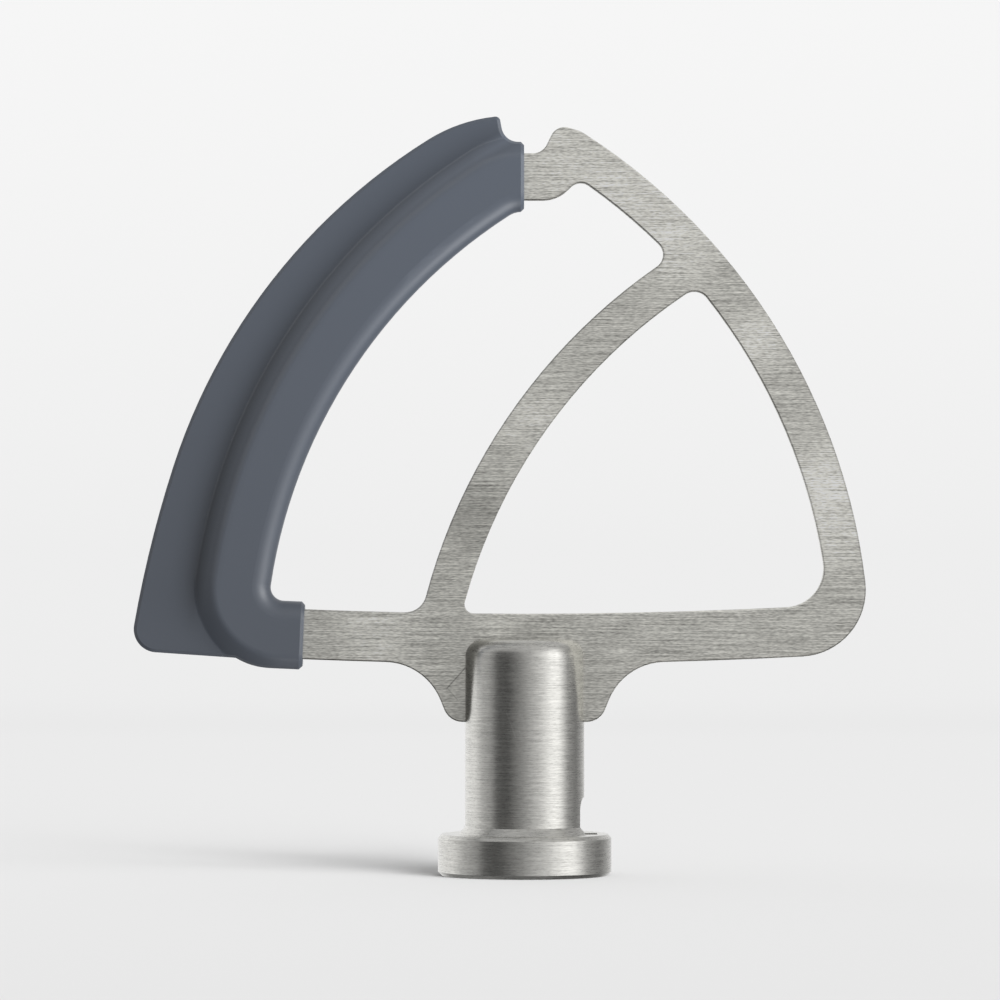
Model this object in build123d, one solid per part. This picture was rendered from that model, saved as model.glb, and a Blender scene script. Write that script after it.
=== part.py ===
from build123d import *

import os
from math import acos, asin, atan2, cos, degrees, radians, sin, sqrt, tan

# A flat beater for a stand mixer: a steel frame, a turned hub and a moulded silicone edge.
# Lengths are in millimetres and angles in degrees.
# The beater stands on the collar of its hub, and the mouth of the shaft bore is at the origin.
# The frame lies in the XZ plane with the silicone edge on the -X side, so its outlines are
# drawn flat, with X across the page and Z up it, and are then given their thickness along Y.

# Drive shaft of the mixer and the cross pin that turns the beater
shaft_diameter = 12.7
shaft_clearance = 0.05
pin_diameter = 5.0
pin_clearance = 0.4
pin_reach = 13.0

# Hub
tube_diameter = 22.0
hub_height = 43.5
hub_end_rounding = 3.1
collar_diameter = 32.0
collar_height = 7.6
collar_edge_break = 0.7
root_cone_height = 1.4
root_cone_width = 1.2
bore_floor = 3.3
bore_mouth_chamfer = 0.5

# Window above the collar, where the cross pin turns and locks
window_height = 6.8
window_start = -22.0
window_end = 50.0
window_corner = 2.4

# Sheet of the frame and its seat in the hub
sheet_thickness = 3.0
sheet_edge_break = 0.25
seat_clearance = 0.03

# Tab of the frame that stands in the hub's slot
tab_height = 10.7
tab_half_width = 13.9
tab_side_slope = 68.0
tab_corner = 3.6
tab_root_radius = 11.2
tab_shortest_side = 0.5

# Bar across the foot of the frame, which sags slightly towards the hub
bar_bottom = 39.0
bar_height = 9.2
bar_sag_radius = 985.0

# Bare arm, on the +X side. Its outer edge is an arc from the foot to the nub. Its inner edge is
# struck from a centre a little further right and up, so the arm narrows towards the foot.
bare_arm_foot = 63.6
bare_arm_top = 9.8
bare_arm_radius = 114.2
bare_arm_width = 8.4
bare_arm_inner_right = 1.2
bare_arm_inner_up = 0.3
bare_foot_corner = 12.3

# Covered arm, on the -X side. Its edges are two arcs about one centre, from the foot to the bridge.
covered_arm_foot = -58.7
covered_arm_top = -4.9
covered_arm_radius = 109.0
covered_arm_width = 8.7
covered_foot_corner = 11.0
covered_foot_inner_corner = 4.6
covered_top_corner = 12.0
covered_top_inner_corner = 6.0

# Bridge at the top, and the nub that stands up where it meets the bare arm
bridge_bottom = 124.45
bridge_height = 8.65
nub_root_x = 3.3
nub_side_slope = 64.0
nub_root_radius = 2.8
nub_crown_x = 9.2
nub_rise = 4.4
nub_crown_slope = -16.4
nub_crown_radius = 2.75
nub_shoulder_radius = 6.0

# Rib, whose inner edge is an arc from the bar up to the bare arm
rib_foot = -11.6
rib_top = 34.2
rib_top_height = 110.0
rib_inner_radius = 100.1
rib_width = 7.2

# Corners of the two openings
small_opening_top_start = 6.0
small_opening_top_slope = 44.0
small_opening_top_bulge = 6.6
small_opening_top_corner = 2.5
small_opening_rib_corner = 2.7
small_opening_foot_corner = 4.0
large_opening_top_corner = 2.9
large_opening_rib_corner = 1.7
large_opening_foot_corner = 7.2

# Silicone sleeve round the covered arm
sleeve_thickness = 8.0
sleeve_wall = 2.1
sleeve_wall_over_bar = 1.4
sleeve_wall_under_bar = 1.9
sleeve_outer_wall = 1.6
sleeve_rounding = 3.3
sleeve_top_end = -0.1
sleeve_bar_end = -40.5
sleeve_foot_corner = 13.0
sleeve_top_bend = 4.0

# Wiping lip along the sleeve. A sloping flank leads down to it from the sleeve's flat face,
# rounded at the crest and at the crease. The face ends crest_inset inside the arm's outer edge.
lip_thickness = 2.0
lip_reach = 22.0
silicone_edge_break = 0.6
crest_inset = 1.0
crest_rounding = 2.0
flank_slope = 42.0
crease_rounding = 0.6
lip_centre_left = 9.0
lip_centre_up = 2.0
lip_extra_radius = 2.5
lip_lower_radius = 215.8
lip_join_angle = 17.9
lip_shoulder_x = -17.8
lip_shoulder_radius = 29.0
lip_shoulder_turn = 26.0
lip_tip_radius = 0.9
lip_tip_turn = 86.0
lip_tip_root_radius = 3.2
lip_foot_height = 40.6
lip_foot_x = -60.85
lip_foot_slope = -3.9
lip_foot_corner = 4.3

# How far the tools that trim an outline reach past it, and how near counts as touching
reach = 400.0
touching = 0.001


def arc_centre(start, end, radius):
    """Centre of an arc through two points, to the right of the way from the first to the second."""
    way = Vector(*end) - Vector(*start)
    across = Vector(way.Y, -way.X).normalized()
    centre = Vector(*start) + way / 2 + across * sqrt(radius**2 - (way.length / 2) ** 2)
    return (centre.X, centre.Y)


def disc(centre, radius):
    """A filled circle in the plane of the outlines."""
    return Pos(*centre) * Circle(radius)


def above(point, slope=0):
    """All that lies above a line through a point, which is level unless a slope is given."""
    return Pos(*point) * Rot(0, 0, slope) * Pos(0, reach) * Rectangle(2 * reach, 2 * reach)


def below(point, slope=0):
    """All that lies below a line through a point, which is level unless a slope is given."""
    return Pos(*point) * Rot(0, 0, slope) * Pos(0, -reach) * Rectangle(2 * reach, 2 * reach)


def nearest_corner(outline, point):
    """The corner of an outline that lies nearest to a point."""
    return outline.vertices().sort_by_distance((point[0], point[1], 0))[0]


def round_corner(outline, point, radius):
    """Round the corner of an outline that lies nearest to a point."""
    return fillet(nearest_corner(outline, point), radius)


def upright(outline, thickness):
    """Stand a flat outline up in the XZ plane and give it its thickness, half to each side."""
    return extrude(Plane.XZ * outline, thickness / 2, both=True)


# Values that follow from the sizes above
bore_radius = shaft_diameter / 2 + shaft_clearance
tube_radius = tube_diameter / 2
collar_radius = collar_diameter / 2
channel_width = pin_diameter + 2 * pin_clearance
channel_reach = pin_reach + pin_clearance
tab_bottom = bar_bottom - tab_height
slot_bottom = tab_bottom - seat_clearance
bore_depth = slot_bottom - bore_floor
bar_top = bar_bottom + bar_height
bar_centre = (0, bar_bottom + bar_sag_radius)
bar_top_radius = bar_sag_radius - bar_height
bridge_top = bridge_bottom + bridge_height
nub_root = (nub_root_x, bridge_top)
nub_crown = (nub_crown_x, bridge_top + nub_rise)
covered_arm_crest = (covered_arm_top, bridge_top)
covered_arm_centre = arc_centre((covered_arm_foot, bar_bottom), covered_arm_crest, covered_arm_radius)
covered_arm_inner_radius = covered_arm_radius - covered_arm_width
bare_arm_centre = arc_centre((bare_arm_top, nub_crown[1]), (bare_arm_foot, bar_bottom), bare_arm_radius)
bare_arm_inner_centre = (bare_arm_centre[0] + bare_arm_inner_right, bare_arm_centre[1] + bare_arm_inner_up)
bare_arm_inner_radius = bare_arm_radius - bare_arm_width
rib_centre = arc_centre((rib_foot, bar_top), (rib_top, rib_top_height), rib_inner_radius)
rib_outer_radius = rib_inner_radius + rib_width
lip_upper_centre = (covered_arm_centre[0] - lip_centre_left, covered_arm_centre[1] + lip_centre_up)
lip_upper_radius = covered_arm_radius + lip_extra_radius
section_reach = sleeve_wall + covered_arm_width + lip_reach


def left_edge(centre, radius, height):
    """Where a circle's left side stands at a height."""
    return centre[0] - sqrt(radius**2 - (height - centre[1]) ** 2)


def bar_edge(radius, x):
    """Height of an arc that runs along the bar, at a distance from the hub's axis."""
    return bar_centre[1] - sqrt(radius**2 - x**2)


def arc_end(centre, radius, angle):
    """A point on a circle, at an angle above the -X direction."""
    return (centre[0] - radius * cos(radians(angle)), centre[1] + radius * sin(radians(angle)))


def frame_outline():
    """The outer edge of the frame, with the tab that stands in the hub."""
    beside_nub = above(nub_root) & above(nub_root, nub_side_slope)
    outline = disc(covered_arm_centre, covered_arm_radius) + (above(nub_root) - beside_nub)
    outline &= disc(bare_arm_centre, bare_arm_radius)
    outline &= disc(bar_centre, bar_sag_radius)
    outline = fillet(outline.vertices().sort_by(Axis.X)[0], covered_foot_corner)
    outline = fillet(outline.vertices().sort_by(Axis.X)[-1], bare_foot_corner)

    outline -= beside_nub
    outline -= above(nub_crown, nub_crown_slope)
    outline = round_corner(outline, covered_arm_crest, covered_top_corner)
    outline = round_corner(outline, nub_root, nub_root_radius)
    outline = round_corner(outline, (bare_arm_top, nub_crown[1]), nub_shoulder_radius)
    outline = fillet(outline.vertices().sort_by(Axis.Y)[-1], nub_crown_radius)

    tab_spread = 1 / tan(radians(tab_side_slope))
    tab_top = (bar_bottom + bar_top) / 2
    top_half_width = tab_half_width + (tab_top - tab_bottom) * tab_spread
    root_half_width = tab_half_width + (bar_bottom - tab_bottom) * tab_spread
    outline += make_face(
        Polyline(
            (-tab_half_width, tab_bottom),
            (tab_half_width, tab_bottom),
            (top_half_width, tab_top),
            (-top_half_width, tab_top),
            close=True,
        )
    )
    side_length = tab_height / sin(radians(tab_side_slope))
    room_for_radius = (side_length - tab_shortest_side) / tan(radians(tab_side_slope / 2)) - tab_corner
    root_radius = min(tab_root_radius, room_for_radius)
    for side in (-1, 1):
        root = (side * root_half_width, bar_bottom)
        outline = round_corner(outline, root, root_radius)
        outline = round_corner(outline, (side * tab_half_width, tab_bottom), tab_corner)
    return outline


def large_opening():
    """The opening between the rib and the bare arm."""
    opening = disc(bare_arm_inner_centre, bare_arm_inner_radius)
    opening &= disc(rib_centre, rib_inner_radius)
    opening &= disc(bar_centre, bar_top_radius)
    opening = fillet(opening.vertices().sort_by(Axis.Y)[-1], large_opening_top_corner)
    opening = fillet(opening.vertices().sort_by(Axis.X)[0], large_opening_rib_corner)
    return fillet(opening.vertices().sort_by(Axis.X)[-1], large_opening_foot_corner)


def small_opening():
    """The opening between the covered arm and the rib, with a hollow beside the nub."""
    hollow_start = (small_opening_top_start, bridge_bottom)
    ceiling = below(hollow_start) + below(hollow_start, small_opening_top_slope)
    opening = disc(covered_arm_centre, covered_arm_inner_radius)
    opening &= disc(bare_arm_inner_centre, bare_arm_inner_radius)
    opening &= disc(bar_centre, bar_top_radius)
    opening -= disc(rib_centre, rib_outer_radius)
    opening &= ceiling

    arm_top = (left_edge(covered_arm_centre, covered_arm_inner_radius, bridge_bottom), bridge_bottom)
    rib_corner = (left_edge(rib_centre, rib_outer_radius, bar_top), bar_top)
    opening = fillet(opening.vertices().sort_by(Axis.X)[0], covered_foot_inner_corner)
    opening = fillet(opening.vertices().sort_by(Axis.X)[-1], small_opening_rib_corner)
    opening = fillet(opening.vertices().sort_by(Axis.Y)[-1], small_opening_top_corner)
    opening = round_corner(opening, rib_corner, small_opening_foot_corner)
    opening = round_corner(opening, arm_top, covered_top_inner_corner)
    return round_corner(opening, hollow_start, small_opening_top_bulge)


def build_frame():
    """The sheet frame: its outline and openings, with every edge eased."""
    frame = upright(frame_outline() - large_opening() - small_opening(), sheet_thickness)
    faces = frame.faces().sort_by(Axis.Y)
    return chamfer(faces[0].edges() + faces[-1].edges(), sheet_edge_break)


def build_hub():
    """The turned hub, with the slot that the frame stands in and the bayonet for the pin."""
    profile = make_face(
        Polyline(
            (bore_radius, 0),
            (collar_radius, 0),
            (collar_radius, collar_height),
            (tube_radius + root_cone_width, collar_height),
            (tube_radius, collar_height + root_cone_height),
            (tube_radius, hub_height),
            (0, hub_height),
            (0, bore_depth),
            (bore_radius, bore_depth),
            close=True,
        )
    )
    profile = chamfer(nearest_corner(profile, (collar_radius, 0)), collar_edge_break)
    profile = chamfer(nearest_corner(profile, (collar_radius, collar_height)), collar_edge_break)
    profile = round_corner(profile, (tube_radius, hub_height), hub_end_rounding)
    profile = chamfer(nearest_corner(profile, (bore_radius, 0)), bore_mouth_chamfer)
    hub = revolve(Plane.XZ * profile, Axis.Z)

    to_base = (Align.MIN, Align.CENTER, Align.MIN)
    channel = Box(channel_reach, channel_width, collar_height, align=to_base)
    window = Pos(0, 0, collar_height) * window_tool()
    slot_width = sheet_thickness + 2 * seat_clearance
    slot = Box(collar_diameter, slot_width, hub_height, align=(Align.CENTER, Align.CENTER, Align.MIN))
    return hub - channel - window - Pos(0, 0, slot_bottom) * slot


def window_tool():
    """A wedge about the hub's axis, standing on the collar, with its upper corners rounded."""
    inside_bore = bore_radius - pin_clearance
    side = make_face(
        Polyline(
            (inside_bore, 0),
            (collar_radius, 0),
            (collar_radius, window_height),
            (inside_bore, window_height),
            close=True,
        )
    )
    wedge = revolve(Plane.XZ * side, Axis.Z, window_end - window_start)
    wedge = Rot(0, 0, window_start) * wedge
    top_edges = wedge.edges().filter_by(GeomType.LINE).group_by(Axis.Z)[-1]
    return fillet(top_edges, window_corner)


def lip_outline():
    """All that lies inside the lip's edge, from its foot round to the tip by the bridge."""
    lower_centre_shift = lip_lower_radius - lip_upper_radius
    lower_centre = arc_end(lip_upper_centre, -lower_centre_shift, lip_join_angle)
    foot_angle = lip_foot_angle(lower_centre)
    foot = arc_end(lower_centre, lip_lower_radius, foot_angle)
    top = bridge_top + sleeve_wall
    shoulder_angle = degrees(acos((lip_upper_centre[0] - lip_shoulder_x) / lip_upper_radius))

    lower = JernArc(foot, heading(90 - foot_angle), lip_lower_radius, foot_angle - lip_join_angle)
    upper = JernArc(lower @ 1, lower % 1, lip_upper_radius, lip_join_angle - shoulder_angle)
    shoulder = JernArc(upper @ 1, upper % 1, lip_shoulder_radius, -lip_shoulder_turn)
    tip = JernArc(shoulder @ 1, shoulder % 1, lip_tip_radius, -lip_tip_turn)
    tip_end = tip @ 1
    tip_heading = tip % 1
    tip_foot = tip_end + tip_heading * ((top - tip_end.Y) / tip_heading.Y)
    far_foot = (sleeve_top_end, lip_foot_line(sleeve_top_end))
    rest = Polyline(tip_end, tip_foot, (sleeve_top_end, top), far_foot, foot)
    outline = make_face(lower + upper + shoulder + tip + rest)
    outline = round_corner(outline, (tip_foot.X, tip_foot.Y), lip_tip_root_radius)
    return round_corner(outline, foot, lip_foot_corner)


def heading(angle):
    """A direction in the plane of the outlines, at an angle above +X."""
    return (cos(radians(angle)), sin(radians(angle)))


def lip_foot_line(x):
    """Height of the lip's straight lower edge."""
    return lip_foot_height + (x - lip_foot_x) * tan(radians(lip_foot_slope))


def lip_foot_angle(centre):
    """Where the lip's outer arc meets its lower edge, as an angle above the -X direction."""
    slope = radians(lip_foot_slope)
    drop = (lip_foot_line(centre[0]) - centre[1]) * cos(slope)
    return degrees(asin(drop / lip_lower_radius) - slope)


def edge_section():
    """The section of the silicone edge, from its inner side out to beyond the lip."""
    half_thickness = sleeve_thickness / 2
    half_lip = lip_thickness / 2
    blunt = half_thickness - sleeve_rounding
    crest_start = sleeve_wall + covered_arm_width - crest_inset
    slope = radians(flank_slope)
    rounded_drop = (crest_rounding + crease_rounding) * (1 - cos(slope))
    flank_length = (half_thickness - half_lip - rounded_drop) / sin(slope)

    nose = JernArc((0, blunt), (0, 1), sleeve_rounding, -90)
    face = Line(nose @ 1, (crest_start, half_thickness))
    crest = JernArc(face @ 1, (1, 0), crest_rounding, -flank_slope)
    flank = Line(crest @ 1, crest @ 1 + crest % 1 * flank_length)
    crease = JernArc(flank @ 1, flank % 1, crease_rounding, flank_slope)
    rest = Polyline(crease @ 1, (section_reach, half_lip), (section_reach, 0), (0, 0), nose @ 0)
    half = make_face(nose + face + crest + flank + crease + rest)
    return half + mirror(half, Plane.XZ)


def inner_edge_path():
    """The inner side of the silicone, from its end on the bar round the arm to the bridge."""
    arm_centre = Vector(*covered_arm_centre)
    arm_radius = covered_arm_inner_radius - sleeve_wall
    foot_radius = covered_foot_inner_corner - sleeve_wall
    over_bar_radius = bar_top_radius - sleeve_wall_over_bar
    bar_slope = degrees(asin(-sleeve_bar_end / over_bar_radius))

    along_bar = Vector(*heading(180 - bar_slope))
    above_bar = Vector(*heading(90 - bar_slope))
    bar_end = Vector(sleeve_bar_end, bar_edge(over_bar_radius, sleeve_bar_end))
    from_arm_centre = bar_end + above_bar * foot_radius - arm_centre
    sideways = from_arm_centre.dot(along_bar)
    straight = sqrt(sideways**2 - from_arm_centre.length**2 + (arm_radius - foot_radius) ** 2) - sideways
    to_foot_centre = from_arm_centre + along_bar * straight
    foot_angle = degrees(atan2(to_foot_centre.Y, -to_foot_centre.X))
    rise = bridge_bottom - sleeve_wall - sleeve_top_bend - arm_centre.Y
    top_angle = degrees(asin(rise / (arm_radius - sleeve_top_bend)))

    bar_run = Line(bar_end, bar_end + along_bar * straight)
    foot = JernArc(bar_run @ 1, bar_run % 1, foot_radius, bar_slope - 90 - foot_angle)
    arm = JernArc(foot @ 1, foot % 1, arm_radius, foot_angle - top_angle)
    bend = JernArc(arm @ 1, arm % 1, sleeve_top_bend, top_angle - 90)
    bridge_run = Line(bend @ 1, (sleeve_top_end, (bend @ 1).Y))
    return bar_run + foot + arm + bend + bridge_run


def outer_limits():
    """All that lies inside the outer side of the silicone: the lip, and the sleeve's foot below it."""
    under_radius = bar_sag_radius + sleeve_wall_under_bar
    inside = disc(covered_arm_centre, covered_arm_radius + sleeve_outer_wall - sleeve_foot_corner)
    inside &= disc(bar_centre, under_radius - sleeve_foot_corner)
    corner_centre = inside.vertices().sort_by(Axis.X)[0]
    under_start = corner_centre.X * under_radius / (under_radius - sleeve_foot_corner)
    under_run = sleeve_bar_end + sleeve_rounding - under_start
    band = Rectangle(under_run, corner_centre.Y, align=(Align.MIN, Align.MAX))
    under = disc(bar_centre, under_radius) & Pos(under_start, corner_centre.Y) * band
    return lip_outline() + disc((corner_centre.X, corner_centre.Y), sleeve_foot_corner) + under


def edges_to_ease(edge, limits):
    """The edges that run along the outer side of the silicone and round its two ends."""
    outer_side = (Plane.XZ * limits).wire()
    eased = [
        line
        for line in edge.edges() - edge.edges().filter_by(Axis.Y)
        if outer_side.distance_to(Vector((line @ 0.5).X, 0, (line @ 0.5).Z)) < touching
    ]
    bar_end = (sleeve_bar_end, 0, bar_bottom + bar_height / 2)
    top_end = (sleeve_top_end, 0, bridge_bottom + bridge_height / 2)
    for middle in (bar_end, top_end):
        end_face = edge.faces().sort_by_distance(middle)[0]
        eased += [line for line in end_face.edges() if line not in eased]
    return eased


def build_flex_edge(frame):
    """The silicone edge: one section led along the arm, trimmed outside, with the frame's hollow."""
    path = Plane.XZ * inner_edge_path()
    across = Plane(origin=path @ 0, x_dir=Vector(0, -1, 0).cross(path % 0), z_dir=path % 0)
    limits = outer_limits()
    edge = sweep(across * edge_section(), path=path) & upright(limits, 2 * sleeve_thickness)
    return chamfer(edges_to_ease(edge, limits), silicone_edge_break) - frame


def build_all():
    frame = build_frame()
    hub = build_hub()
    return frame, hub, build_flex_edge(frame)


os.makedirs("parts", exist_ok=True)
frame, hub, flex_edge = build_all()
for piece in (frame, hub, flex_edge):
    print(round(piece.volume, 1), len(piece.solids()), len(piece.faces()))
export_step(frame, "parts/beater_frame.step")
export_step(hub, "parts/hub.step")
export_step(flex_edge, "parts/flex_edge.step")
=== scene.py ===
# %% [markdown]
# # A flat beater for a stand mixer
#
# The beater is three pieces: an open frame cut from steel sheet, a turned steel hub that the frame
# stands in, and a silicone edge moulded round one arm of the frame. It stands on its hub, as it
# does in a drawer or on a worktop. The solids come from the part's own model, in metres, and this
# lesson gives them their finishes and puts them in a small studio.

# %% Load the solids
from math import pi, radians

import bpy
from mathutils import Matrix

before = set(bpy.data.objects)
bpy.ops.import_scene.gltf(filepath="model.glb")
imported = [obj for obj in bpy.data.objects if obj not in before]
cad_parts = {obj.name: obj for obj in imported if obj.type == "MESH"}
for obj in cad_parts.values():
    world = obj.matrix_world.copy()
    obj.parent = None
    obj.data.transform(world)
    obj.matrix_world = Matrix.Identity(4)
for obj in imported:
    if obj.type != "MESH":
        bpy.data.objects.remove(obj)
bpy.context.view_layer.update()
sheet, hub, flex = (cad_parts[name] for name in ("beater_frame", "hub", "flex_edge"))
millimetre = 0.001
print("pieces:", sorted(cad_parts))

# %% [markdown]
# ## Wires and nodes
#
# A finish is a tree of nodes, and most of its nodes do plain sums. Writing each one out hides
# what is meant. A small class that wraps an output and knows plus, minus, times and divide lets a
# sum be written as a sum, and a single method adds every other kind of node.

# %% A class for sums and a class for node trees
class Wire:
    """An output of a node that can be used in sums."""

    def __init__(self, tree, socket):
        self.tree = tree
        self.socket = socket

    def sum_node(self, operation, *values):
        return self.tree.node("ShaderNodeMath", {"operation": operation}, dict(enumerate(values)))

    def __add__(self, other):
        return self.sum_node("ADD", self, other)

    def __radd__(self, other):
        return self.sum_node("ADD", other, self)

    def __sub__(self, other):
        return self.sum_node("SUBTRACT", self, other)

    def __rsub__(self, other):
        return self.sum_node("SUBTRACT", other, self)

    def __mul__(self, other):
        return self.sum_node("MULTIPLY", self, other)

    def __rmul__(self, other):
        return self.sum_node("MULTIPLY", other, self)

    def __truediv__(self, other):
        return self.sum_node("DIVIDE", self, other)

    def __pow__(self, other):
        return self.sum_node("POWER", self, other)


class Tree:
    """The nodes of a material or of the world."""

    def __init__(self, owner):
        owner.use_nodes = True
        self.nodes = owner.node_tree.nodes
        self.links = owner.node_tree.links

    def node(self, kind, settings=None, inputs=None, output=0):
        made = self.nodes.new(kind)
        for name, value in (settings or {}).items():
            if name == "stops":
                self.set_stops(made.color_ramp, value)
            else:
                setattr(made, name, value)
        for name, value in (inputs or {}).items():
            self.feed(made.inputs[name], value)
        return Wire(self, made.outputs[output])

    def feed(self, socket, value):
        if isinstance(value, Wire):
            self.links.new(value.socket, socket)
        else:
            socket.default_value = value

    def set_stops(self, ramp, stops):
        while len(ramp.elements) < len(stops):
            ramp.elements.new(0.5)
        for element, (place, grey) in zip(ramp.elements, stops):
            element.position = place
            element.color = (grey, grey, grey, 1)


print("sums and nodes are ready")

# %% [markdown]
# ## Four nodes that come back again and again
#
# Every finish here splits a place into its three parts, carries a value from one range to another,
# reads a grey off a ramp and blends two colours. Each of these gets a short name, so that the
# finishes below read as sentences.

# %% Name the nodes that are used most
def parts_of(tree, vector):
    """The X, Y and Z of a vector."""
    x = tree.node("ShaderNodeSeparateXYZ", inputs={"Vector": vector}, output="X")
    outputs = x.socket.node.outputs
    return x, Wire(tree, outputs["Y"]), Wire(tree, outputs["Z"])


def carried(tree, value, start, end, at_start=0.0, at_end=1.0, curve="LINEAR"):
    """A value that goes from at_start to at_end between start and end, and is held outside them."""
    return tree.node(
        "ShaderNodeMapRange",
        {"interpolation_type": curve},
        {"Value": value, "From Min": start, "From Max": end, "To Min": at_start, "To Max": at_end},
    )


def grey_at(tree, place, stops):
    """The grey of a ramp at a place from 0 to 1."""
    return tree.node("ShaderNodeValToRGB", {"stops": stops}, {"Fac": place})


def blend(tree, factor, first, second, way="MIX"):
    """Two colours in one."""
    return tree.node(
        "ShaderNodeMix",
        {"data_type": "RGBA", "blend_type": way},
        {"Factor": factor, "A": first, "B": second},
        output="Result",
    )


print("parts, ranges, ramps and blends are ready")

# %% [markdown]
# ## The camera
#
# A product photograph of a small thing is taken from far off with a long lens, which keeps the
# plate's outline true. The camera stands 1.2 m away, level, at the height of the middle of the
# beater, and looks along +Y.

# %% Place the camera
camera_place = (-0.00454, -1.1993, 0.06919)
level = radians(90)
long_lens, sensor_width = 234, 36
nearest_seen, farthest_seen = 0.05, 50
bpy.ops.object.camera_add(location=camera_place, rotation=(level, 0, 0))
camera = bpy.context.object
camera.data.lens = long_lens
camera.data.sensor_width = sensor_width
camera.data.clip_start = nearest_seen
camera.data.clip_end = farthest_seen
camera.data.dof.use_dof = False
bpy.context.scene.camera = camera
print("camera at", tuple(round(v, 3) for v in camera.location))

# %% [markdown]
# ## The sweep of paper
#
# Studios stand a product on a roll of paper that curves up behind it, so that no horizon shows.
# Here it is a plane whose back edge is pulled up into a wall, with the fold rounded by a bevel.
# The paper is much wider than the picture, so that none of its edges is seen. It is hidden from
# the light that bounces between the pieces, because the painted room below gives all of that.

# %% Make the floor and backdrop
paper_width, paper_depth, wall_height = 12, 8, 6
fold_radius, fold_faces = 3.2, 48
bpy.ops.object.select_all(action="DESELECT")
bpy.ops.mesh.primitive_plane_add(size=1, location=(0, 0, 0))
paper = bpy.context.object
paper.name = "paper_sweep"
paper.scale = (paper_width, paper_depth, 1)
bpy.ops.object.transform_apply(location=False, rotation=False, scale=True)


def select_edges_of_paper(wanted):
    """Select the edges whose two ends are both wanted, and go into edit mode."""
    bpy.ops.object.mode_set(mode="EDIT")
    bpy.ops.mesh.select_mode(type="EDGE")
    bpy.ops.mesh.select_all(action="DESELECT")
    bpy.ops.object.mode_set(mode="OBJECT")
    for edge in paper.data.edges:
        edge.select = all(wanted(paper.data.vertices[end].co) for end in edge.vertices)
    bpy.ops.object.mode_set(mode="EDIT")


select_edges_of_paper(lambda corner: corner.y > 0)
bpy.ops.mesh.extrude_region_move(TRANSFORM_OT_translate={"value": (0, 0, wall_height)})
select_edges_of_paper(lambda corner: corner.y > 0 and corner.z < 1)
bpy.ops.mesh.bevel(offset=fold_radius, offset_type="OFFSET", segments=fold_faces, affect="EDGES")
bpy.ops.object.mode_set(mode="OBJECT")
bpy.ops.object.shade_smooth()
paper.visible_glossy = False
paper.visible_diffuse = False
print("paper:", len(paper.data.polygons), "faces")

# %% [markdown]
# ## The paper's grey
#
# In the picture the paper gets a little paler from the foot to the top. The lamps that light it
# come from the front, so they fall more squarely on the wall than on the floor. A ramp along Y,
# from just before the beater to the wall, evens out most of that and leaves the soft gradient.

# %% Colour the paper
paper_stops = [
    (0.0, 0.670),
    (0.10, 0.689),
    (0.27, 0.689),
    (0.38, 0.688),
    (0.48, 0.667),
    (0.545, 0.635),
    (0.64, 0.593),
    (0.76, 0.562),
    (0.87, 0.539),
    (1.0, 0.514),
]
ramp_before_beater, ramp_length = 0.3, 2.6
paper_finish = bpy.data.materials.new("studio_paper")
paper.data.materials.append(paper_finish)
tree = Tree(paper_finish)
paper_shader = tree.nodes["Principled BSDF"]
_, depth, _ = parts_of(tree, tree.node("ShaderNodeTexCoord", output="Object"))
paper_grey = grey_at(tree, (depth + ramp_before_beater) / ramp_length, paper_stops)
tree.feed(paper_shader.inputs["Base Color"], paper_grey)
paper_shader.inputs["Roughness"].default_value = 1
paper_shader.inputs["Specular IOR Level"].default_value = 0
print("paper greys:", len(paper_stops))

# %% [markdown]
# ## The room
#
# Brushed steel shows what stands round it. A tall soft window stands to the right of the camera,
# a dark screen to its left, a dim gap at the far right and a bright wall at the far left. Overhead
# they all fade into one grey ceiling, and towards the floor they darken, as if the beater stood on
# a dark table. All of that is the world, painted by direction. The camera itself sees a plain pale
# grey wherever the paper ends.
#
# The room is soft, so the rays that bounce off the beater find its light well enough by
# themselves. Extra rays that are aimed at the room are switched off: next to lamps that light
# single pieces only, they make the steel a little brighter in one render than in the next.

# %% Paint the room
def degrees_right(angle):
    """Where a turn to the right of the camera lies on the room's ramp."""
    return angle / 360 + 0.5


room_stops = [
    (0.0, 0.95),
    (degrees_right(-112), 0.95),
    (degrees_right(-90), 0.56),
    (degrees_right(-70), 0.42),
    (degrees_right(-55), 0.12),
    (degrees_right(-32), 0.10),
    (degrees_right(0), 0.40),
    (degrees_right(30), 0.82),
    (degrees_right(48), 1.24),
    (degrees_right(72), 1.24),
    (degrees_right(92), 0.40),
    (degrees_right(118), 0.22),
    (degrees_right(140), 0.45),
    (1.0, 0.95),
]
ceiling_grey = (0.55, 0.55, 0.55, 1)
ceiling_starts, ceiling_full = 0.45, 0.85
table_full, table_starts, table_share = -0.55, -0.12, 0.25
seen_grey = (0.86, 0.86, 0.86, 1)

world = bpy.data.worlds.new("studio")
bpy.context.scene.world = world
world.cycles.sampling_method = "NONE"
tree = Tree(world)
east, north, up = parts_of(tree, tree.node("ShaderNodeTexCoord", output="Generated"))
turn = tree.node("ShaderNodeMath", {"operation": "ARCTAN2"}, {0: east, 1: north * -1})
walls = grey_at(tree, turn * (1 / (2 * pi)) + 0.5, room_stops)
overhead = carried(tree, up, ceiling_starts, ceiling_full, curve="SMOOTHSTEP")
under_ceiling = blend(tree, overhead, walls, ceiling_grey)
table = carried(tree, up, table_full, table_starts, table_share, 1.0, "SMOOTHSTEP")
room = blend(tree, 1.0, under_ceiling, table, "MULTIPLY")
seen = tree.node("ShaderNodeLightPath", output="Is Camera Ray")
tree.feed(tree.nodes["Background"].inputs["Color"], blend(tree, seen, room, seen_grey))
tree.feed(tree.nodes["Background"].inputs["Strength"], 1.0)
print("greys round the room:", len(room_stops))

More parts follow.
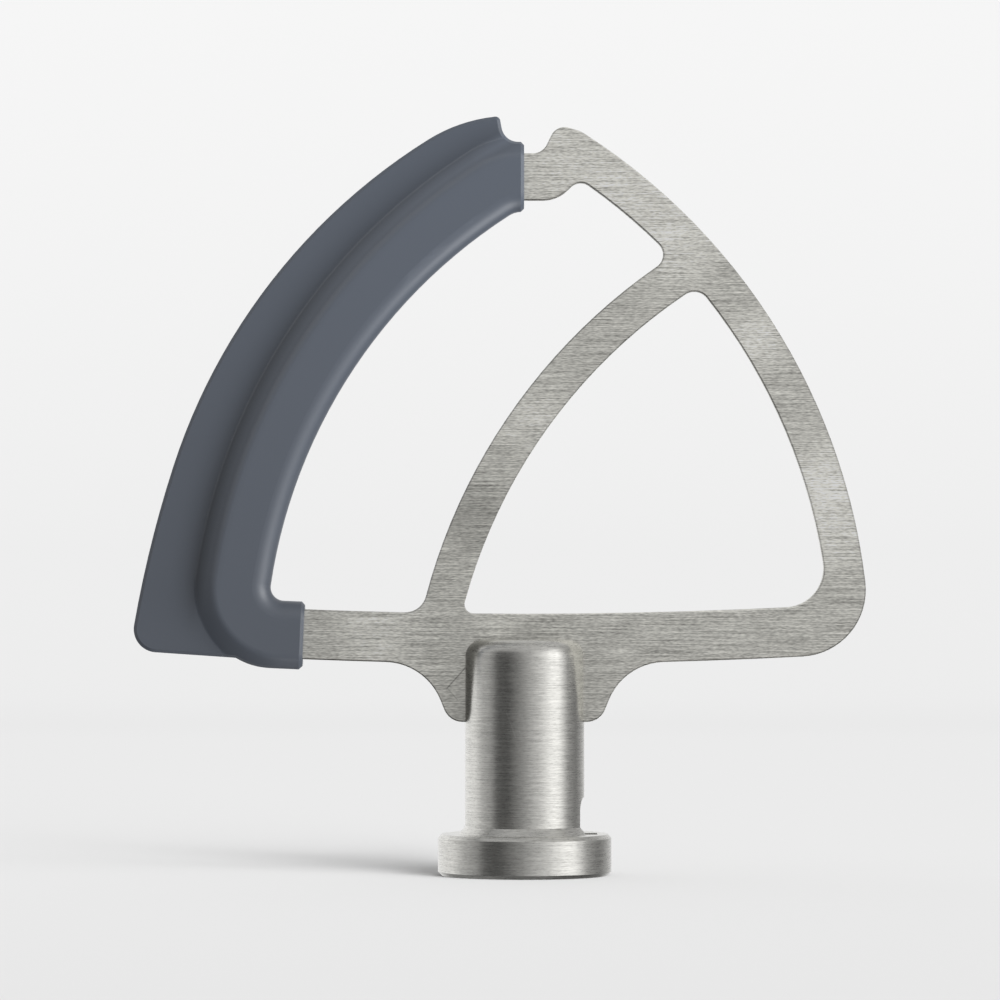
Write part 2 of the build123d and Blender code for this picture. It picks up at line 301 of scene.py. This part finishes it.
# %% [markdown]
# ## The lamps
#
# A photographer keeps a lamp off what it shouldn't light with flags and cards. Light linking does
# that here: each soft sun lights only the piece that it is hung for, so that the mirror-like hub,
# the sheet, the silicone and the paper can each have the light that suits them. A sun with
# blockers gets its shadows from those pieces only, and the two lamps on the paper throw the long
# soft shadow of the hub.

# %% Hang the soft suns
def soft_sun(name, degrees_right_of_camera, degrees_up, energy, softness, lit, blockers=()):
    """A sun for the pieces named only, and its shadows from the blockers only, if there are any."""
    bpy.ops.object.light_add(type="SUN", location=(0, 0, 0))
    sun = bpy.context.object
    sun.name = name
    sun.rotation_euler = (radians(90 - degrees_up), 0, radians(degrees_right_of_camera))
    sun.data.energy = energy
    sun.data.angle = radians(softness)
    sun.light_linking.receiver_collection = bpy.data.collections.new(name + "_lights")
    for piece in lit:
        sun.light_linking.receiver_collection.objects.link(piece)
    if blockers:
        sun.light_linking.blocker_collection = bpy.data.collections.new(name + "_blockers")
        for piece in blockers:
            sun.light_linking.blocker_collection.objects.link(piece)
    print(name, "lights", [piece.name for piece in lit])


soft_sun("window_on_hub", 62, 16, 0.10, 28, [hub])
soft_sun("lamp_on_sheet", 15, 40, 0.72, 40, [sheet])
soft_sun("window_on_silicone", 64, 10, 2.6, 40, [flex])
soft_sun("lamp_above_silicone", -40, 35, 1.0, 60, [flex])
soft_sun("bounce_on_silicone", 50, -55, 2.2, 40, [flex], [sheet, hub, flex])
soft_sun("low_lamp_on_paper", 26, 16, 4.1, 34, [paper], [hub])
soft_sun("high_lamp_on_paper", 46, 24, 1.9, 36, [paper], [hub])

# %% [markdown]
# ## Marks and painted light on steel
#
# A brushing belt leaves long hair lines in one direction. Noise that is stretched along X and
# squeezed along Z gives such lines. Over them the sheet is painted brighter in some places and
# darker in others with a handful of soft round spots: painted highlights and painted shade that
# stand in for the room's uneven reflection on the sheet. Use has left a few fine scratches. A
# scratch is everything that lies close to a short straight line: the nearest point on the line is
# found first, and then how far off it is.

# %% Make hair lines, spots of painted light and shade, and scratches
scratch_core, scratch_edge = 0.05 * millimetre, 0.17 * millimetre


def grain(tree, place, length, pitch, seed):
    """Noise drawn out along X and Y, from 0 to 1."""
    stretched = tree.node(
        "ShaderNodeMapping",
        inputs={
            "Vector": place,
            "Location": (seed, seed * 0.7, seed * 1.3),
            "Scale": (1 / length, 1 / length, 1 / pitch),
        },
    )
    return tree.node(
        "ShaderNodeTexNoise",
        {"noise_dimensions": "3D"},
        {"Vector": stretched, "Scale": 1.0, "Detail": 1.0, "Roughness": 0.5},
        output="Fac",
    )


def painted_light_spot(tree, place, x, z, reach):
    """1 at a spot of painted highlight or shade on the sheet, in millimetres, and 0 from a reach
    away.
    """
    middle = (x * millimetre, 0, z * millimetre)
    away = tree.node(
        "ShaderNodeVectorMath", {"operation": "DISTANCE"}, {0: place, 1: middle}, output="Value"
    )
    return carried(tree, away, 0.0, reach * millimetre, 1.0, 0.0, "SMOOTHERSTEP")


def scratch(tree, place, start, end):
    """1 along a thin line on the front, between two points in millimetres, and 0 beside it."""
    start_x, start_z = (value * millimetre for value in start)
    run, rise = end[0] * millimetre - start_x, end[1] * millimetre - start_z
    x, depth, z = parts_of(tree, place)
    from_x, from_z = x - start_x, z - start_z
    share = (from_x * run + from_z * rise) / (run**2 + rise**2)
    share = tree.node("ShaderNodeClamp", inputs={"Value": share})
    aside = ((from_x - share * run) ** 2 + (from_z - share * rise) ** 2) ** 0.5
    on_front = tree.node("ShaderNodeMath", {"operation": "LESS_THAN"}, {0: depth, 1: 0.0})
    return carried(tree, aside, scratch_core, scratch_edge, 1.0, 0.0) * on_front


print("hair lines, spots and scratches are ready")

# %% [markdown]
# ## Brushed steel
#
# Each hair line is a shallow groove, so it is a small change of height, of roughness and of
# brightness at once. Two sizes of line keep the steel from looking combed. Because the grooves all
# lie one way, the steel also spreads its highlights across them, which is what the shader's
# anisotropy does.

# %% Write the recipe for steel
short_line, long_pitch, short_pitch = 0.9 * millimetre, 0.17 * millimetre, 0.15 * millimetre
long_share, short_share = 0.55, 0.45
darkest_line, brightest_line = 0.315, 0.685
groove_depth, groove_strength, groove_roughness = 0.00002, 0.3, 0.06
highlight_stretch, across_the_lines = 0.7, 0.25


def brushed_steel(name, dark, light, roughness, long_line, spots=(), scratches=()):
    """A steel finish with hair lines, soft spots of painted highlight and shade, and fine
    scratches.
    """
    material = bpy.data.materials.new(name)
    tree = Tree(material)
    shader = tree.nodes["Principled BSDF"]
    place = tree.node("ShaderNodeTexCoord", output="Object")
    long_lines = grain(tree, place, long_line, long_pitch, 3.1)
    short_lines = grain(tree, place, short_line, short_pitch, 7.7)
    lines = long_lines * long_share + short_lines * short_share
    contrast = carried(tree, lines, darkest_line, brightest_line)
    colour = blend(tree, contrast, dark, light)
    marks = [(painted_light_spot(tree, place, x, z, reach), gain) for x, z, reach, gain in spots]
    marks += [(scratch(tree, place, start, end), gain) for start, end, gain in scratches]
    if marks:
        # The spots add painted highlights and painted shade, and the scratches are wear.
        painted_light_and_scratches = sum((mark * gain for mark, gain in marks), 1.0)
        colour = blend(tree, 1.0, colour, painted_light_and_scratches, "MULTIPLY")
    tree.feed(shader.inputs["Base Color"], colour)
    tree.feed(shader.inputs["Roughness"], roughness + contrast * groove_roughness)
    shader.inputs["Metallic"].default_value = 1
    shader.inputs["Anisotropic"].default_value = highlight_stretch
    shader.inputs["Anisotropic Rotation"].default_value = across_the_lines
    grooves = {"Height": lines, "Distance": groove_depth, "Strength": groove_strength}
    tree.feed(shader.inputs["Normal"], tree.node("ShaderNodeBump", inputs=grooves))
    return material


def dress(piece, material):
    """Give a piece one finish all over."""
    piece.data.materials.clear()
    piece.data.materials.append(material)
    print(piece.name, "wears", material.name)


print("the recipe for steel is ready")

# %% [markdown]
# ## The sheet and the hub
#
# The sheet is brushed with a coarse belt, so its lines are long and its shine is soft. Each of its
# spots of painted highlight or painted shade is an X and a Z in millimetres, how far it reaches,
# and how much brighter or darker it makes the steel. The hub was turned on a lathe and then
# finished finely: its lines are shorter and paler, and it mirrors the room more clearly.

# %% Dress the frame in brushed sheet
# Painted highlights and painted shade for the room's uneven reflection. The dark spots at Z 34 and
# 42 are painted shade above the hub's dome.
sheet_painted_light_spots = [
    (57, 67, 17, 0.35),
    (43, 99, 9, 0.38),
    (20, 124, 22, 0.32),
    (1, 85, 11, 0.25),
    (30, 115, 12, 0.20),
    (-9, 67, 13, -0.25),
    (0, 34, 24, -0.23),
    (1, 42, 8, -0.26),
    (-1, 49, 13, 0.16),
    (-11, 30, 9, -0.12),
    (-27, 45, 14, 0.18),
    (5, 132, 14, 0.22),
    (54, 74, 12, 0.20),
]
sheet_scratches = [
    ((-14.3, 34.5), (-11.0, 38.2), -0.40),
    ((-12.4, 32.4), (-14.0, 34.2), -0.20),
]
sheet_steel = brushed_steel(
    "brushed_sheet",
    dark=(0.28, 0.275, 0.255, 1),
    light=(1.0, 0.99, 0.925, 1),
    roughness=0.44,
    long_line=11 * millimetre,
    spots=sheet_painted_light_spots,
    scratches=sheet_scratches,
)
dress(sheet, sheet_steel)

# %% Dress the hub in turned steel
hub_scratches = [
    ((-3.4, 30.4), (-1.7, 25.8), 0.16),
    ((-1.2, 27.5), (-0.6, 25.9), 0.10),
]
turned_steel = brushed_steel(
    "turned_steel",
    dark=(0.48, 0.475, 0.453, 1),
    light=(0.85, 0.84, 0.80, 1),
    roughness=0.26,
    long_line=5 * millimetre,
    scratches=hub_scratches,
)
dress(hub, turned_steel)

# %% [markdown]
# ## Silicone
#
# The edge is moulded in a blue-grey silicone with a smooth satin skin. It scatters light, so its
# highlights are wide and weak, and a little sheen gives the skin its bluish bloom. The colour is
# painted slightly paler with height, in a cloudy way, which is painted light from above. It is
# painted darker near the middle plane, which is on the lip and at the foot of the flank, because
# less light gets in there: this is painted shade.

# %% Mix the silicone's colour
low_blue, top_lit_blue = (0.065, 0.074, 0.091, 1), (0.085, 0.100, 0.127, 1)
top_light_starts, top_light_full, cloud_lift = 0.045, 0.150, 0.01
section_reach = 6 * millimetre
section_stops = [(0.0, 0.93), (0.17, 0.93), (0.22, 0.86), (0.58, 1.0)]

silicone = bpy.data.materials.new("satin_silicone")
tree = Tree(silicone)
place = tree.node("ShaderNodeTexCoord", output="Object")
x, across, height = parts_of(tree, place)
cloudy = {"Vector": place, "Scale": 60.0, "Detail": 3.0}
cloud = tree.node("ShaderNodeTexNoise", inputs=cloudy, output="Fac")
# Painted light from above: the blue is paler higher up.
painted_top_light = carried(tree, height + cloud * cloud_lift, top_light_starts, top_light_full)
blue_grey_lit_from_above = blend(tree, painted_top_light, low_blue, top_lit_blue)
from_middle = tree.node("ShaderNodeMath", {"operation": "ABSOLUTE"}, {0: across})
section_shade = grey_at(tree, from_middle / section_reach, section_stops)
print("silicone colours:", low_blue[:3], "to", top_lit_blue[:3])

# %% [markdown]
# ## Painted shade in the crease and a painted highlight on the crest
#
# Between the sleeve and the wiping lip runs a crease that follows the arm, and the arm is part of
# a circle. So the distance from the circle's centre, less its radius, says how far out a point
# lies, and two ramps read it: one paints shade into the crease and fades over the lip, the other
# paints a highlight on the crest of the flank. Both are weaker or stronger with height, and neither
# goes down to the foot corner, where the edge leaves the circle.

# %% Paint shade into the crease and a highlight on the crest
arm_x, arm_z, arm_radius = 0.0503, 0.03911, 0.1090
crease_lead, crease_reach = 2 * millimetre, 12 * millimetre
crease_stops = [
    (0.0, 1.0),
    (0.083, 0.93),
    (0.125, 0.87),
    (0.167, 0.86),
    (0.25, 0.88),
    (0.333, 0.70),
    (0.4, 0.53),
    (0.5, 0.67),
    (0.583, 0.78),
    (0.708, 0.88),
    (0.833, 0.93),
]
crest_reach = 10 * millimetre
crest_highlight_stops = [(0.0, 0.0), (0.06, 0.5), (0.12, 1.0), (0.24, 0.9), (0.34, 0.0)]
foot_ends, crease_full = 0.043, 0.055
crease_fade, crest_highlight_gain = 0.8, 0.5

past_arm = ((x - arm_x) ** 2 + (height - arm_z) ** 2) ** 0.5 - arm_radius
# Painted shade in the crease, and a painted highlight on the crest of the flank.
crease = grey_at(tree, (past_arm + crease_lead) / crease_reach, crease_stops)
crest = grey_at(tree, past_arm / crest_reach, crest_highlight_stops)
over_foot = carried(tree, height, foot_ends, crease_full, curve="SMOOTHSTEP")
painted_crease_shade = 1 + (crease - 1) * over_foot * (1 - painted_top_light**2 * crease_fade)
painted_crest_highlight = 1 + crest * painted_top_light**3 * crest_highlight_gain
painted_light_and_shade = section_shade * painted_crease_shade * painted_crest_highlight
print("crease stops:", len(crease_stops), "crest stops:", len(crest_highlight_stops))

# %% Dress the edge in silicone
satin, satin_change = 0.40, 0.08
pore_depth, pore_strength = 0.00001, 0.2
fine = {"Vector": place, "Scale": 2500.0, "Detail": 2.0}
skin = tree.node("ShaderNodeTexNoise", inputs=fine, output="Fac")
pores = {"Height": skin, "Distance": pore_depth, "Strength": pore_strength}
shader = tree.nodes["Principled BSDF"]
# The colour carries the painted light and shade of the section, the crease and the crest.
tree.feed(shader.inputs["Base Color"], blend(tree, 1.0, blue_grey_lit_from_above, painted_light_and_shade, "MULTIPLY"))
tree.feed(shader.inputs["Roughness"], satin + skin * satin_change)
tree.feed(shader.inputs["Normal"], tree.node("ShaderNodeBump", inputs=pores))
shader.inputs["Sheen Weight"].default_value = 0.12
shader.inputs["Sheen Roughness"].default_value = 0.35
shader.inputs["Sheen Tint"].default_value = (0.80, 0.87, 1.0, 1)
dress(flex, silicone)

# %% [markdown]
# ## The view transform
#
# The view transform stays plain, so that a colour comes out as it was written.

# %% Finish
bpy.context.scene.view_settings.view_transform = "Standard"
